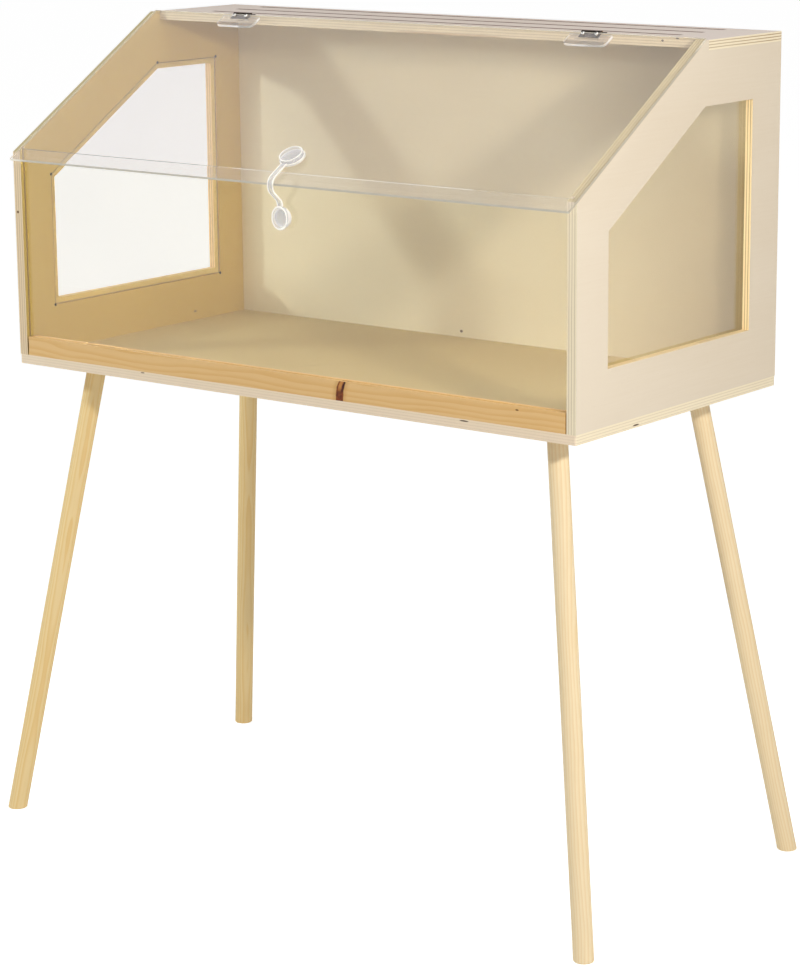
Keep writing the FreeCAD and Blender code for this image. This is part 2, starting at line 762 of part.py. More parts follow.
# The strap's middle line in the box frame, from its root at the cap to the tab's centre
def strapLine():
    slant = math.radians(number("slantAngle"))
    turnIn = math.radians(number("strapTurnIn"))
    bend = number("strapBend")
    returnBend = number("strapReturnBend")
    down = FreeCAD.Vector(0, -math.cos(slant), -math.sin(slant))
    out = FreeCAD.Vector(0, -math.sin(slant), math.cos(slant))
    corner = FreeCAD.Vector(0, 0, number("cornerHeight"))
    root = corner - down * number("strapRoot") + out * number("strapLevel")
    bendStart = root + down * number("strapRun")
    bendCentre = bendStart - out * bend
    halfTurn = (math.pi / 2 - slant + turnIn) / 2
    bendMiddle = bendCentre + turned(out, halfTurn) * bend
    bendEnd = bendCentre + turned(out, 2 * halfTurn) * bend
    inward = turned(down, 2 * halfTurn)
    tabLine = number("paneFront") - number("paneDiscThick") - number("tabThick") / 2
    returnShift = returnBend * (1 - math.cos(turnIn))
    inwardRun = (tabLine - bendEnd.y - returnShift) / inward.y
    returnStart = bendEnd + inward * inwardRun
    returnCentre = returnStart - turned(inward, math.pi / 2) * returnBend
    returnMiddle = returnCentre + turned(inward, math.pi / 2 - turnIn / 2) * returnBend
    returnEnd = FreeCAD.Vector(0, tabLine, returnCentre.z)
    tab = FreeCAD.Vector(0, tabLine, number("paneDiscHeight"))
    edges = [
        Part.LineSegment(root, bendStart),
        Part.Arc(bendStart, bendMiddle, bendEnd),
        Part.LineSegment(bendEnd, returnStart),
        Part.Arc(returnStart, returnMiddle, returnEnd),
        Part.LineSegment(returnEnd, tab),
    ]
    return root, Part.Wire([edge.toShape() for edge in edges])


# Turns a vector about X, from the front of the cage downwards
def turned(vector, angle):
    return FreeCAD.Rotation(FreeCAD.Vector(1, 0, 0), math.degrees(angle)).multVec(vector)


def makeLatchStrap():
    width = number("strapWidth")
    root, line = strapLine()
    outline = line.makeOffset2D(number("strapThick") / 2, join=0, fill=False, openResult=False)
    strap = Part.Face(outline).extrude(FreeCAD.Vector(width, 0, 0))
    strap.translate(FreeCAD.Vector(-width / 2, 0, 0))
    tabFront = number("paneFront") - number("paneDiscThick") - number("tabThick")
    major = number("tabHeight") / 2
    minor = number("tabWidth") / 2
    ellipse = Part.Ellipse(FreeCAD.Vector(0, 0, major), FreeCAD.Vector(minor, 0, 0), FreeCAD.Vector())
    ellipse = ellipse.toShape()
    ellipse.translate(FreeCAD.Vector(0, tabFront, number("paneDiscHeight")))
    tab = Part.Face(Part.Wire([ellipse])).extrude(FreeCAD.Vector(0, number("tabThick"), 0))
    rims = [edge for edge in tab.Edges if abs(edge.CenterOfMass.y - tabFront) < 0.01]
    tab = tab.makeFillet(number("tabRound"), rims)
    item = doc.addObject("Part::Feature", "latch_strap")
    item.Shape = tab.fuse(strap).removeSplitter()
    return place(item, "latchShift", "-boxDepth / 2", "legHeight")


def makeLeg(name, sideX, sideY, slab):
    rod = newBody("rod_" + name)
    sketch = planeSketch(rod, "XY_Plane", "-legLength - legRadius")
    addCircle(sketch, "0", "0", "legRadius")
    pad(rod, sketch, "legLength + 2 * legRadius")
    placeOnLeg(rod, sideX, sideY)
    trimmed = doc.addObject("Part::Common", "legTrimmed_" + name)
    trimmed.Base = rod
    trimmed.Tool = slab
    doc.recompute()
    rims = []
    for index, edge in enumerate(trimmed.Shape.Edges, start=1):
        if edge.BoundBox.ZMax < 0.01:
            rims.append((index, number("footEase"), number("footEase")))
    eased = doc.addObject("Part::Chamfer", "legEased_" + name)
    eased.Base = trimmed
    eased.Edges = rims
    hole = legScrew("legPilot_" + name, sideX, sideY, "screwFit")
    return cut("leg_" + name, eased, hole)


def makeLegs():
    reach = "boxWidth + 2 * splayWidth"
    slab = box("standingSpace", (f"-({reach})", reach), (f"-({reach})", reach), ("0", "legHeight"))
    return [makeLeg(name, sideX, sideY, slab) for name, (sideX, sideY) in legSides.items()]


def makeLegScrews():
    return [legScrew("leg_screw_" + name, sideX, sideY) for name, (sideX, sideY) in legSides.items()]


def makeRailScrews():
    screws = []
    for index, (x, y) in enumerate(railScrewSpots()):
        screws.append(fuse(f"railScrew{index}", screwSolids(f"railScrew{index}", "screwRadius",
                      "railScrewLength", "screwHeadRadius", "screwHeadHeight", x, y)))
    return placeInBox(group("rail_screws", screws))


def makeSideScrews():
    screws = []
    for index, (x, y) in enumerate(bothSides(sideScrewSpots)):
        screws.append(fuse(f"sideScrew{index}", screwSolids(f"sideScrew{index}", "screwRadius",
                      "sideScrewLength", "screwHeadRadius", "screwHeadHeight", x, y)))
    return placeInBox(group("side_screws", screws))


def makeRoofDowels():
    dowels = []
    for index, (x, y) in enumerate(bothSides(roofDowelSpots)):
        dowels.append(cylinder(f"roofDowel{index}", "dowelRadius", "dowelLength - pilotGap", x, y,
                               "roofUnder - dowelLength + dowelRoofDepth"))
    return placeInBox(group("roof_dowels", dowels))


def makeBackNails():
    nails = [nail(f"backNail{index}", x, z) for index, (x, z) in enumerate(bothSides(backNailSpots))]
    return placeInBox(group("back_nails", nails))


def makeAll():
    pieces = [makeBaseBoard(), makeBackPanel(), makeRoofBoard(), makeFrontRail(), makeFrontPane()]
    for name, side in hingeSides.items():
        pieces += [makeSidePanel(name, side), makeWindowPane(name, side), makeWindowTacks(name, side)]
    pieces.append(makeLidPane())
    for name, side in hingeSides.items():
        pieces += [makeRoofLeaf(name, side), makeLidLeaf(name, side), makeHingePin(name, side)]
        pieces += [makeRoofLeafScrews(name, side), makeLidBolts(name, side), makeLidNuts(name, side)]
        pieces.append(makeBackingPlate(name, side))
    pieces += [makeLatchLidBase(), makeLatchCap(), makeLatchPaneBase(), makeLatchStrap()]
    pieces += makeLegs() + makeLegScrews()
    pieces += [makeRailScrews(), makeSideScrews(), makeRoofDowels(), makeBackNails()]
    return pieces


def checkDocument(pieces):
    doc.recompute()
    for item in doc.Objects:
        if "Invalid" in item.State or "Error" in item.State:
            raise RuntimeError(f"{item.Name} failed: {item.State}")
    for piece in pieces:
        if piece.Shape.isNull() or not piece.Shape.isValid() or not piece.Shape.Solids:
            raise RuntimeError(f"{piece.Label} has no valid solid")


def exportPieces(pieces):
    os.makedirs("parts", exist_ok=True)
    for piece in pieces:
        piece.Shape.exportStep(os.path.join("parts", piece.Label + ".step"))
        low = piece.Shape.BoundBox
        print(f"{piece.Label:26s} solids {len(piece.Shape.Solids)} volume {piece.Shape.Volume:11.1f} "
              f"X {low.XMin:7.1f} {low.XMax:7.1f} Y {low.YMin:7.1f} {low.YMax:7.1f} "
              f"Z {low.ZMin:7.1f} {low.ZMax:7.1f}")


fillSheet()
pieces = makeAll()
checkDocument(pieces)
exportPieces(pieces)
print(len(pieces), "pieces")
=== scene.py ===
import bmesh
import bpy
import json
import math
from mathutils import Matrix, Vector


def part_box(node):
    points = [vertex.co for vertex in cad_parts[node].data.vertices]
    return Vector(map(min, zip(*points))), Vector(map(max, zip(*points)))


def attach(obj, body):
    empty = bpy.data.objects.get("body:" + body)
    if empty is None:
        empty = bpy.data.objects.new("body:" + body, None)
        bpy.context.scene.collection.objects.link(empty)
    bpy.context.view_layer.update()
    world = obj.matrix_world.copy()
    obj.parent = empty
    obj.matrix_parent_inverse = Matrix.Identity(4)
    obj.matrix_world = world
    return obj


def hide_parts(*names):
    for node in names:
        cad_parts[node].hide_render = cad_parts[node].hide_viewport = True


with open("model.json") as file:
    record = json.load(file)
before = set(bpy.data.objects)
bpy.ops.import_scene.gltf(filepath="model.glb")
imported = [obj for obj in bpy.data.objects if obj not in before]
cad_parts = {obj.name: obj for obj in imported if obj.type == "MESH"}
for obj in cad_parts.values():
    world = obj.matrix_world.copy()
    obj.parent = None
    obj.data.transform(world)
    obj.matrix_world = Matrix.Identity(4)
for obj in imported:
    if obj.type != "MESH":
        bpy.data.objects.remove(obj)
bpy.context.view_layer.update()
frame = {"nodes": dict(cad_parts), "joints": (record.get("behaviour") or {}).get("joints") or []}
nodes = frame["nodes"]
print("frame loaded:", len(nodes), "pieces of the cage")

right = Vector((1, 0, 0))
rear = Vector((0, 1, 0))
up = Vector((0, 0, 1))

# The lid's own plane: the normal of its largest face
lidOut = max(nodes["lid_pane"].data.polygons, key=lambda polygon: polygon.area).normal.copy()
lidOut *= 1 if lidOut.z > 0 else -1


# A node's output that can stand in a sum
class Flow:
    def __init__(self, look, socket):
        self.look = look
        self.socket = socket

    def worked(self, operation, first, second):
        return self.look.add("ShaderNodeMath", {"operation": operation}, {0: first, 1: second})

    def __add__(self, other):
        return self.worked("ADD", self, other)

    def __radd__(self, other):
        return self.worked("ADD", other, self)

    def __sub__(self, other):
        return self.worked("SUBTRACT", self, other)

    def __rsub__(self, other):
        return self.worked("SUBTRACT", other, self)

    def __mul__(self, other):
        return self.worked("MULTIPLY", self, other)

    def __rmul__(self, other):
        return self.worked("MULTIPLY", other, self)

    def __truediv__(self, other):
        return self.worked("DIVIDE", self, other)

    def __mod__(self, other):
        return self.worked("MODULO", self, other)

    def __gt__(self, other):
        return self.worked("GREATER_THAN", self, other)

    def __lt__(self, other):
        return self.worked("LESS_THAN", self, other)

    def __abs__(self):
        return self.worked("ABSOLUTE", self, 0)


# The node tree of a material or of the world
class Look:
    def __init__(self, owner):
        owner.use_nodes = True
        self.owner = owner
        self.tree = owner.node_tree
        self.tree.nodes.clear()

    # Settings come first, then the values or links of the sockets
    def add(self, kind, settings={}, sockets={}, out=0):
        node = self.tree.nodes.new(kind)
        for name, value in settings.items():
            setattr(node, name, value)
        for key, value in sockets.items():
            socket = node.inputs[key]
            if isinstance(value, Flow):
                self.tree.links.new(value.socket, socket)
            elif socket.type == "RGBA":
                socket.default_value = (*value, 1)
            else:
                socket.default_value = value
        return Flow(self, node.outputs[out]) if len(node.outputs) else node

    def place(self):
        return self.add("ShaderNodeTexCoord", out="Object")

    def facing(self, direction):
        normal = self.add("ShaderNodeTexCoord", out="Normal")
        return self.dot(normal, direction)

    def dot(self, flow, direction):
        return self.add("ShaderNodeVectorMath", {"operation": "DOT_PRODUCT"},
                        {0: flow, 1: direction}, out="Value")

    def vector(self, operation, first, second):
        return self.add("ShaderNodeVectorMath", {"operation": operation}, {0: first, 1: second})

    def size(self, flow):
        return self.add("ShaderNodeVectorMath", {"operation": "LENGTH"}, {0: flow}, out="Value")

    def point(self, x, y, z):
        return self.add("ShaderNodeCombineXYZ", {}, {0: x, 1: y, 2: z})

    def fade(self, flow, start, end):
        return self.add("ShaderNodeMapRange", {"interpolation_type": "SMOOTHSTEP"},
                        {"Value": flow, "From Min": start, "From Max": end})

    def noise(self, spot, scale=1, detail=2, roughness=0.5):
        return self.add("ShaderNodeTexNoise", {}, {
            "Vector": spot, "Scale": scale, "Detail": detail, "Roughness": roughness})

    def mix(self, factor, first, second, mode="MIX"):
        return self.add("ShaderNodeMix", {"data_type": "RGBA", "blend_type": mode},
                        {0: factor, 6: first, 7: second}, out=2)

    def bump(self, height, strength, distance):
        return self.add("ShaderNodeBump", {}, {
            "Height": height, "Strength": strength, "Distance": distance})

    def finish(self, shader):
        self.add("ShaderNodeOutputMaterial", {}, {"Surface": shader})
        return self.owner


def newLook(name):
    return Look(bpy.data.materials.new(name))


def dress(material, *names):
    for name in names:
        for slot in nodes[name].material_slots:
            slot.material = material


# Turns a bmesh into a piece that stands for a CAD node
def newPiece(name, shape, materials, body, slotName, *stoodFor, smooth=True):
    bmesh.ops.recalc_face_normals(shape, faces=shape.faces)
    mesh = bpy.data.meshes.new(name)
    for face in shape.faces:
        face.smooth = smooth
    shape.to_mesh(mesh)
    shape.free()
    for material in materials:
        mesh.materials.append(material)
    piece = bpy.data.objects.new(name, mesh)
    bpy.context.scene.collection.objects.link(piece)
    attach(piece, body)
    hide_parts(*stoodFor)
    return piece


# Camera
cameraView = {
    "place": (2.07483, -2.64953, 1.20640),
    "turn": (77.0356, 0.2038, 36.4299),  # degrees
    "lens": 109.119,
    "sensor": 36,
    "shift": (-0.07216, -0.00722),
}


def makeCamera():
    data = bpy.data.cameras.new("photo_view")
    data.sensor_width = cameraView["sensor"]
    data.lens = cameraView["lens"]
    data.shift_x, data.shift_y = cameraView["shift"]
    camera = bpy.data.objects.new("photo_view", data)
    camera.location = cameraView["place"]
    camera.rotation_euler = [math.radians(angle) for angle in cameraView["turn"]]
    bpy.context.scene.collection.objects.link(camera)
    bpy.context.scene.camera = camera


# Light: a small lamp on each side, large ones in front, overhead and on the right, and a white
# world and floor
lightSetup = {
    "worldLevel": 0.34,
    "aim": (0, 0, 0.76),
    "floorColour": (0.86, 0.86, 0.86),
    "floorGlow": 0.70,
    "floorRadius": 40,
}
lamps = {
    "leftKey": {"place": (-1.256, -1.055, 1.19), "size": 0.11, "power": 8.8, "colour": (0.82, 0.93, 1)},
    "rightKey": {"place": (1.569, -0.779, 1.221), "size": 0.11, "power": 13, "colour": (1, 1, 1)},
    "frontLight": {"place": (-0.3, -3.2, 0.9), "size": 1.6, "power": 5, "colour": (1, 1, 1)},
    "topLight": {"place": (0.4, -0.2, 3.2), "size": 1.5, "power": 16, "colour": (1, 1, 1)},
    "sideLight": {"place": (3.3, -0.4, 0.9), "size": 1.4, "power": 10, "colour": (1, 1, 1)},
}


# 1 where the eye, a reflection or clear plastic looks straight at the surroundings
def looksOut(look):
    rays = [look.add("ShaderNodeLightPath", out=name)
            for name in ("Is Camera Ray", "Is Glossy Ray", "Is Transmission Ray")]
    straight = look.add("ShaderNodeLightPath", out="Diffuse Depth") < 0.5
    return (rays[0] + rays[1] + rays[2] > 0.5) * straight


def makeWorld():
    world = bpy.data.worlds.new("studio")
    bpy.context.scene.world = world
    look = Look(world)
    level = lightSetup["worldLevel"]
    strength = level + (1 - level) * looksOut(look)
    sky = look.add("ShaderNodeBackground", {}, {"Color": (1, 1, 1), "Strength": strength})
    look.add("ShaderNodeOutputWorld", {}, {"Surface": sky})


def makeLamp(name):
    values = lamps[name]
    data = bpy.data.lights.new(name, "AREA")
    data.shape = "DISK"
    data.size = values["size"]
    data.energy = values["power"]
    data.color = values["colour"]
    lamp = bpy.data.objects.new(name, data)
    lamp.visible_transmission = False  # the clear sheets let its light through as shadow rays
    lamp.location = values["place"]
    aim = Vector(lightSetup["aim"]) - lamp.location
    lamp.rotation_euler = aim.to_track_quat("-Z", "Y").to_euler()
    bpy.context.scene.collection.objects.link(lamp)


def makeFloor():
    mesh = bpy.data.meshes.new("studio_floor")
    shape = bmesh.new()
    bmesh.ops.create_circle(shape, cap_ends=True, segments=96, radius=lightSetup["floorRadius"])
    shape.to_mesh(mesh)
    shape.free()
    floor = bpy.data.objects.new("studio_floor", mesh)
    bpy.context.scene.collection.objects.link(floor)
    look = newLook("pale_floor")
    paint = look.add("ShaderNodeBsdfDiffuse", {}, {"Color": lightSetup["floorColour"]})
    glow = lightSetup["floorGlow"] * looksOut(look)
    shine = look.add("ShaderNodeEmission", {}, {"Color": (1, 1, 1), "Strength": glow})
    both = look.add("ShaderNodeAddShader", {}, {0: paint, 1: shine})
    mesh.materials.append(look.finish(both))


bpy.context.scene.view_settings.view_transform = "Standard"
makeCamera()
makeWorld()
for name in lamps:
    makeLamp(name)
makeFloor()
print("camera, light and floor set")

# Birch plywood: pale rotary cut faces, plies on the cut edges
plyFinish = {
    "cloudy": (0.93, 0.90, 0.85),
    "fleck": (0.84, 0.76, 0.64),
    "lightPly": (0.90, 0.78, 0.56),
    "darkPly": (0.42, 0.27, 0.14),
    "endGrain": (0.66, 0.54, 0.36),
    "cutTint": (0.99, 0.87, 0.66),
    # painted shade in the vent slots' walls and on the skin beside them
    "slotShade": (0.16, 0.07, 0.05),
    "plies": 7,
    # scale along the grain, scale across it, detail and roughness
    "noises": {"cloud": (3, 6, 2, 0.5), "fibre": (12, 420, 3, 0.6), "fleck": (160, 1500, 1, 0.5)},
    "slotShadeReach": 0.0040,  # from a slot's middle line
    "roughness": 0.58,
    "sheen": 0.28,
}
# The inside colours of the inward faces are partly painted shade of the cage's interior
boards = {
    "base_board": {"along": right, "across": rear, "through": up, "inward": up, "lines": 0.25,
                   "face": (0.76, 0.65, 0.50), "inside": (0.59, 0.455, 0.215),
                   "frontTint": (1.0, 0.93, 0.94)},
    "roof_board": {"along": right, "across": rear, "through": up, "inward": -up, "lines": 0.85,
                   "face": (0.80, 0.69, 0.61), "inside": (0.76, 0.60, 0.26),
                   "frontTint": (0.86, 0.82, 0.74)},
    "side_panel_left": {"along": rear, "across": up, "through": right, "inward": right, "lines": 0.42,
                        "face": (0.77, 0.66, 0.51), "inside": (0.58, 0.41, 0.125),
                        "frontTint": (0.90, 0.80, 0.72), "slantTint": (0.68, 0.67, 0.54)},
    "side_panel_right": {"along": rear, "across": up, "through": right, "inward": -right, "lines": 0.42,
                         "face": (0.77, 0.66, 0.51), "inside": (0.58, 0.41, 0.125),
                         "slantTint": (0.68, 0.66, 0.50)},
    "back_panel": {"along": right, "across": up, "through": rear, "inward": -rear, "lines": 0.60,
                   "face": (0.75, 0.64, 0.48), "inside": (0.80, 0.70, 0.475),
                   # painted shade on the inside, darkening towards the right end
                   "paintedShadeEnd": {"from": 0.08, "middle": 0.23, "to": 0.38, "clears": (0.78, 0.88),
                               "cleared": 0.85, "colour": (0.368, 0.287, 0.15675)}},
}
# Small natural marks, and a painted shadow in the gap at the rail's left end: where, how large (metres)
# and what colour
marks = {
    "back_panel": [
        {"at": (-0.0385, 0.1935, 0.5753), "size": (0.0022, 0.004, 0.0018), "colour": (0.16, 0.10, 0.05)},
    ],
    "side_panel_left": [
        {"at": (-0.388, 0.0995, 0.5787), "size": (0.004, 0.003, 0.0015), "colour": (0.30, 0.20, 0.10)},
        {"at": (-0.3955, -0.2, 0.7377), "size": (0.002, 0.004, 0.0016), "colour": (0.20, 0.12, 0.06)},
    ],
    "base_board": [
        {"at": (0.2562, -0.2, 0.5661), "size": (0.006, 0.004, 0.0008), "colour": (0.12, 0.07, 0.04)},
        {"at": (0.4, -0.0873, 0.5600), "size": (0.004, 0.006, 0.0009), "colour": (0.12, 0.07, 0.04)},
        {"at": (-0.142, 0.061, 0.568), "size": (0.0022, 0.0014, 0.003), "colour": (0.34, 0.22, 0.11)},
        {"at": (-0.2042, -0.2, 0.5668), "size": (0.003, 0.004, 0.0008), "colour": (0.30, 0.20, 0.12)},
    ],
    "roof_board": [
        {"at": (0.3417, 0.048, 0.9523), "size": (0.0016, 0.004, 0.0013), "colour": (0.10, 0.06, 0.04)},
        {"at": (0.3608, 0.048, 0.9556), "size": (0.0022, 0.004, 0.0010), "colour": (0.10, 0.06, 0.04)},
        {"at": (0.055, 0.048, 0.9468), "size": (0.085, 0.004, 0.0013), "colour": (0.60, 0.43, 0.24)},
    ],
    "front_rail": [
        {"at": (0.3252, -0.2, 0.5862), "size": (0.0022, 0.004, 0.0009), "colour": (0.20, 0.08, 0.02)},
        # painted shadow in the gap between the rail's left end and the side panel
        {"at": (-0.3876, -0.2, 0.580), "size": (0.0020, 0.006, 0.016), "colour": (0.13, 0.05, 0.02)},
    ],
}
# A fine crack in the base board, as points that it runs through
hairline = {
    "points": [(-0.084, -0.080, 0.568), (-0.058, -0.038, 0.568), (-0.019, -0.003, 0.568)],
    "halfWidth": 0.0009,
    "depth": 0.8,
    "colour": (0.28, 0.20, 0.11),
}


def addMarks(look, colour, spots):
    for spot in spots:
        away = look.vector("SUBTRACT", look.place(), spot["at"])
        share = look.vector("DIVIDE", away, spot["size"])
        colour = look.mix(look.fade(look.size(share), 1.15, 0.75), colour, spot["colour"])
    return colour


def addHairline(look, colour):
    points = [Vector(point) for point in hairline["points"]]
    for first, second in zip(points, points[1:]):
        run = second - first
        away = look.vector("SUBTRACT", look.place(), first)
        share = look.add("ShaderNodeMath", {"operation": "DIVIDE", "use_clamp": True},
                         {0: look.dot(away, run), 1: run.length_squared})
        nearest = look.vector("MULTIPLY", look.point(share, share, share), run)
        miss = look.size(look.vector("SUBTRACT", away, nearest))
        share = look.fade(miss, hairline["halfWidth"], 0) * hairline["depth"]
        colour = look.mix(share, colour, hairline["colour"])
    return colour


# 1 on the window edges of a side panel: inside its outline, and below its slanted edge
def windowEdge(look, name):
    low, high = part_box(name)
    margin = 0.02
    slope = max(corner.co.dot(lidOut) for corner in nodes[name].data.vertices)
    inner = look.dot(look.place(), lidOut) < slope - margin
    for axis in (rear, up):
        along = look.dot(look.place(), axis)
        inner = inner * (along > low.dot(axis) + margin) * (along < high.dot(axis) - margin)
    return inner


# Middle lines of the vent slots, from the roof board's inner corners, as (y, first x, last x)
def ventSlots():
    low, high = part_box("roof_board")
    margin = 0.01
    widest = 0.012  # a slot is narrower than this
    inner = [corner.co for corner in nodes["roof_board"].data.vertices
             if low.y + margin < corner.co.y < high.y - margin
             and low.x + 2 * margin < corner.co.x < high.x - 2 * margin]
    rows = []
    for corner in sorted(inner, key=lambda corner: corner.y):
        if rows and corner.y - rows[-1][-1].y < widest:
            rows[-1].append(corner)
        else:
            rows.append([corner])
    slots = []
    for row in rows:
        across = [corner.y for corner in row]
        along = [corner.x for corner in row]
        slots.append(((min(across) + max(across)) / 2, min(along), max(along)))
    return slots


# 1 in the slots' walls, painted shade of their depth, and on the darkened skin beside them
def paintedSlotShade(look):
    reach = plyFinish["slotShadeReach"]
    along = look.dot(look.place(), right)
    across = look.dot(look.place(), rear)
    waver = look.noise(look.point(along * 60, across * 60, 0), detail=2)
    slotDark = 0
    for middle, start, end in ventSlots():
        inRow = (along > start - reach / 3) * (along < end + reach / 3)
        away = abs(across - middle) + (waver - 0.5) * 0.0008
        slotDark = slotDark + inRow * look.fade(away, reach * 1.25, reach * 0.9)
    return slotDark


# Colour of a board's faces: slow clouds, faint fibres and short flecks along the grain
def faceColour(look, board, along, across, cloud, fibre, fleck):
    inside = board["inside"]
    if "paintedShadeEnd" in board:
        # painted shade: darker towards its right end, but less so in the upper corner
        end = board["paintedShadeEnd"]
        clear = look.fade(along, end["middle"], end["to"]) * look.fade(across, *end["clears"])
        share = look.fade(along, end["from"], end["to"]) - end["cleared"] * clear
        inside = look.mix(share, inside, end["colour"])
    # inward faces take the inside colour, partly painted interior shade
    inner = look.fade(look.facing(board["inward"]), 0.3, 0.9)
    face = look.mix(inner, board["face"], inside)
    tone = 0.7 * cloud + 0.3 * fibre
    face = look.mix(look.fade(tone, 0.35, 0.70) * 0.55, face, plyFinish["cloudy"], "MULTIPLY")
    return look.mix(look.fade(fleck, 0.68, 0.80) * 0.35, face, plyFinish["fleck"], "MULTIPLY")


# Colour of its cut edges: pale plies, with thin dark lines that show best across the grain
def edgeColour(look, name, grain, darkLine, waver):
    board = boards[name]
    edge = look.mix(look.fade(grain, 0.40, 0.75) * (0.12 + 0.2 * darkLine),
                    plyFinish["lightPly"], plyFinish["endGrain"])
    shown = board["lines"] * (0.45 + 0.55 * look.fade(abs(look.facing(board["along"])), 0.3, 0.8))
    if "slantTint" in board:
        cutOut = windowEdge(look, name)
        slanted = look.fade(look.facing(lidOut), 0.90, 0.98)
        shown = shown + 0.5 * cutOut + 0.4 * slanted
        edge = look.mix(cutOut, edge, plyFinish["cutTint"], "MULTIPLY")
        edge = look.mix(slanted, edge, board["slantTint"], "MULTIPLY")
    edge = look.mix(darkLine * shown * (0.7 + 0.6 * waver), edge, plyFinish["darkPly"])
    if "frontTint" in board:
        front = look.fade(look.facing(rear), -0.6, -0.9)
        edge = look.mix(front, edge, board["frontTint"], "MULTIPLY")
    return edge


def birchPly(name, seed):
    board = boards[name]
    low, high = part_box(name)
    thick = (high - low).dot(board["through"])
    look = newLook(name + "_birch")
    along, across, through = [look.dot(look.place(), board[way]) for way in ("along", "across", "through")]
    cloud, fibre, fleck = [
        look.noise(look.point(along * length, across * width, through * width + seed), 1, *detail)
        for length, width, *detail in plyFinish["noises"].values()]
    waver = look.noise(look.point(along * 14, across * 14, seed), detail=2)
    grain = look.noise(look.point(along * 500, across * 500, through * 1100), detail=3, roughness=0.7)
    depth = (through - low.dot(board["through"])) / thick * plyFinish["plies"] + (waver - 0.5) * 0.35
    nearDark = look.add("ShaderNodeMath", {"operation": "PINGPONG"}, {0: depth - 1.5, 1: 1})
    darkLine = look.fade(nearDark, 0.50, 0.12)
    onEdge = look.fade(abs(look.facing(board["through"])), 0.75, 0.45)
    face = faceColour(look, board, along, across, cloud, fibre, fleck)
    colour = look.mix(onEdge, face, edgeColour(look, name, grain, darkLine, waver))
    if name == "roof_board":
        # painted shade in the vent slots
        colour = look.mix(paintedSlotShade(look) * 0.9, colour, plyFinish["slotShade"])
    if name == "base_board":
        colour = addHairline(look, colour)
    colour = addMarks(look, colour, marks.get(name, []))
    height = fibre * 0.5 + fleck * 0.15 + onEdge * (grain * 2 - darkLine)
    shader = look.add("ShaderNodeBsdfPrincipled", {}, {
        "Base Color": colour,
        "Specular IOR Level": plyFinish["sheen"],
        "Roughness": plyFinish["roughness"] + 0.08 * fibre + 0.12 * onEdge,
        "Normal": look.bump(height, 0.25, 0.00012)})
    return look.finish(shader)


for seed, name in enumerate(boards):
    dress(birchPly(name, 3.7 * seed), name)
print("plywood finished")

# Softwood: annual rings about a pith outside the stick, seen as long streaks
streakNoises = {"sway": (3, 12, 2, 0.5), "warp": (14, 60, 2, 0.5),
                "fibre": (22, 700, 3, 0.65), "cloud": (9, 30, 2, 0.5)}  # as for the plywood
railFinish = {
    "early": (0.80, 0.51, 0.22),
    "late": (0.72, 0.40, 0.12),
    "ringPitch": 0.0030,
    "pith": (0, 0.06, 0.03),  # from the stick's middle line: along, across, through
    "roughness": 0.46,
}
# The rail's knot stands on the rail's foot as a finger that bends with the cube of its height
knotFinish = {
    "foot": (0.0868, -0.2, 0.568),
    "halfWidth": 0.0052,
    "bend": 430,
    "ragged": 0.0018,
    "rounds": 0.0165,
    "top": 0.0262,
    "coreFrom": 0.008,
    "coreFull": 0.017,
    "dark": (0.21, 0.042, 0.004),
    "black": (0.035, 0.003, 0.001),
    "core": (0.60, 0.25, 0.06),
    "halo": (0.55, 0.25, 0.06),
}
legFinish = {
    "leftEarly": (0.96, 0.72, 0.36),
    "leftLate": (0.88, 0.57, 0.20),
    "rightEarly": (0.93, 0.75, 0.48),
    "rightLate": (0.85, 0.61, 0.30),
    "ringPitch": 0.0034,
    "pithAway": 0.026,
    "topInset": (0.067, 0.062),
    "splay": (0.089, 0.075),
    "knots": [(-0.3711, -0.1701, 0.3186), (0.3713, 0.1703, 0.3175)],
    "knotSize": (0.0022, 0.0022, 0.0038),
    "roughness": 0.5,
    "knotColour": (0.34, 0.17, 0.06),
}


# Streaky colour of a stick; along, across and through are metres from its middle line
def streaks(look, along, across, through, pitch, early, late, seed):
    sway, warp, fibre, cloud = [
        look.noise(look.point(along * length + seed, across * width, through * width), 1, *detail)
        for length, width, *detail in streakNoises.values()]
    away = look.size(look.point(0, across, through))
    year = away / pitch + (sway - 0.5) * 5 + (warp - 0.5) * 0.7
    season = year % 1
    lateWood = look.fade(season, 0.25, 0.9) * look.fade(season, 1.0, 0.93)
    colour = look.mix(lateWood * 0.6 + (cloud - 0.5) * 0.5, early, late)
    colour = look.mix(look.fade(fibre, 0.52, 0.75) * 0.25, colour, late)
    return colour, lateWood, fibre


def softwood(look, colour, lateWood, fibre, roughness):
    shader = look.add("ShaderNodeBsdfPrincipled", {}, {
        "Base Color": colour,
        "Specular IOR Level": plyFinish["sheen"],
        "Roughness": roughness + 0.15 * fibre - 0.06 * lateWood,
        "Normal": look.bump(fibre * 0.6 + lateWood * 0.3, 0.3, 0.0002)})
    return look.finish(shader)


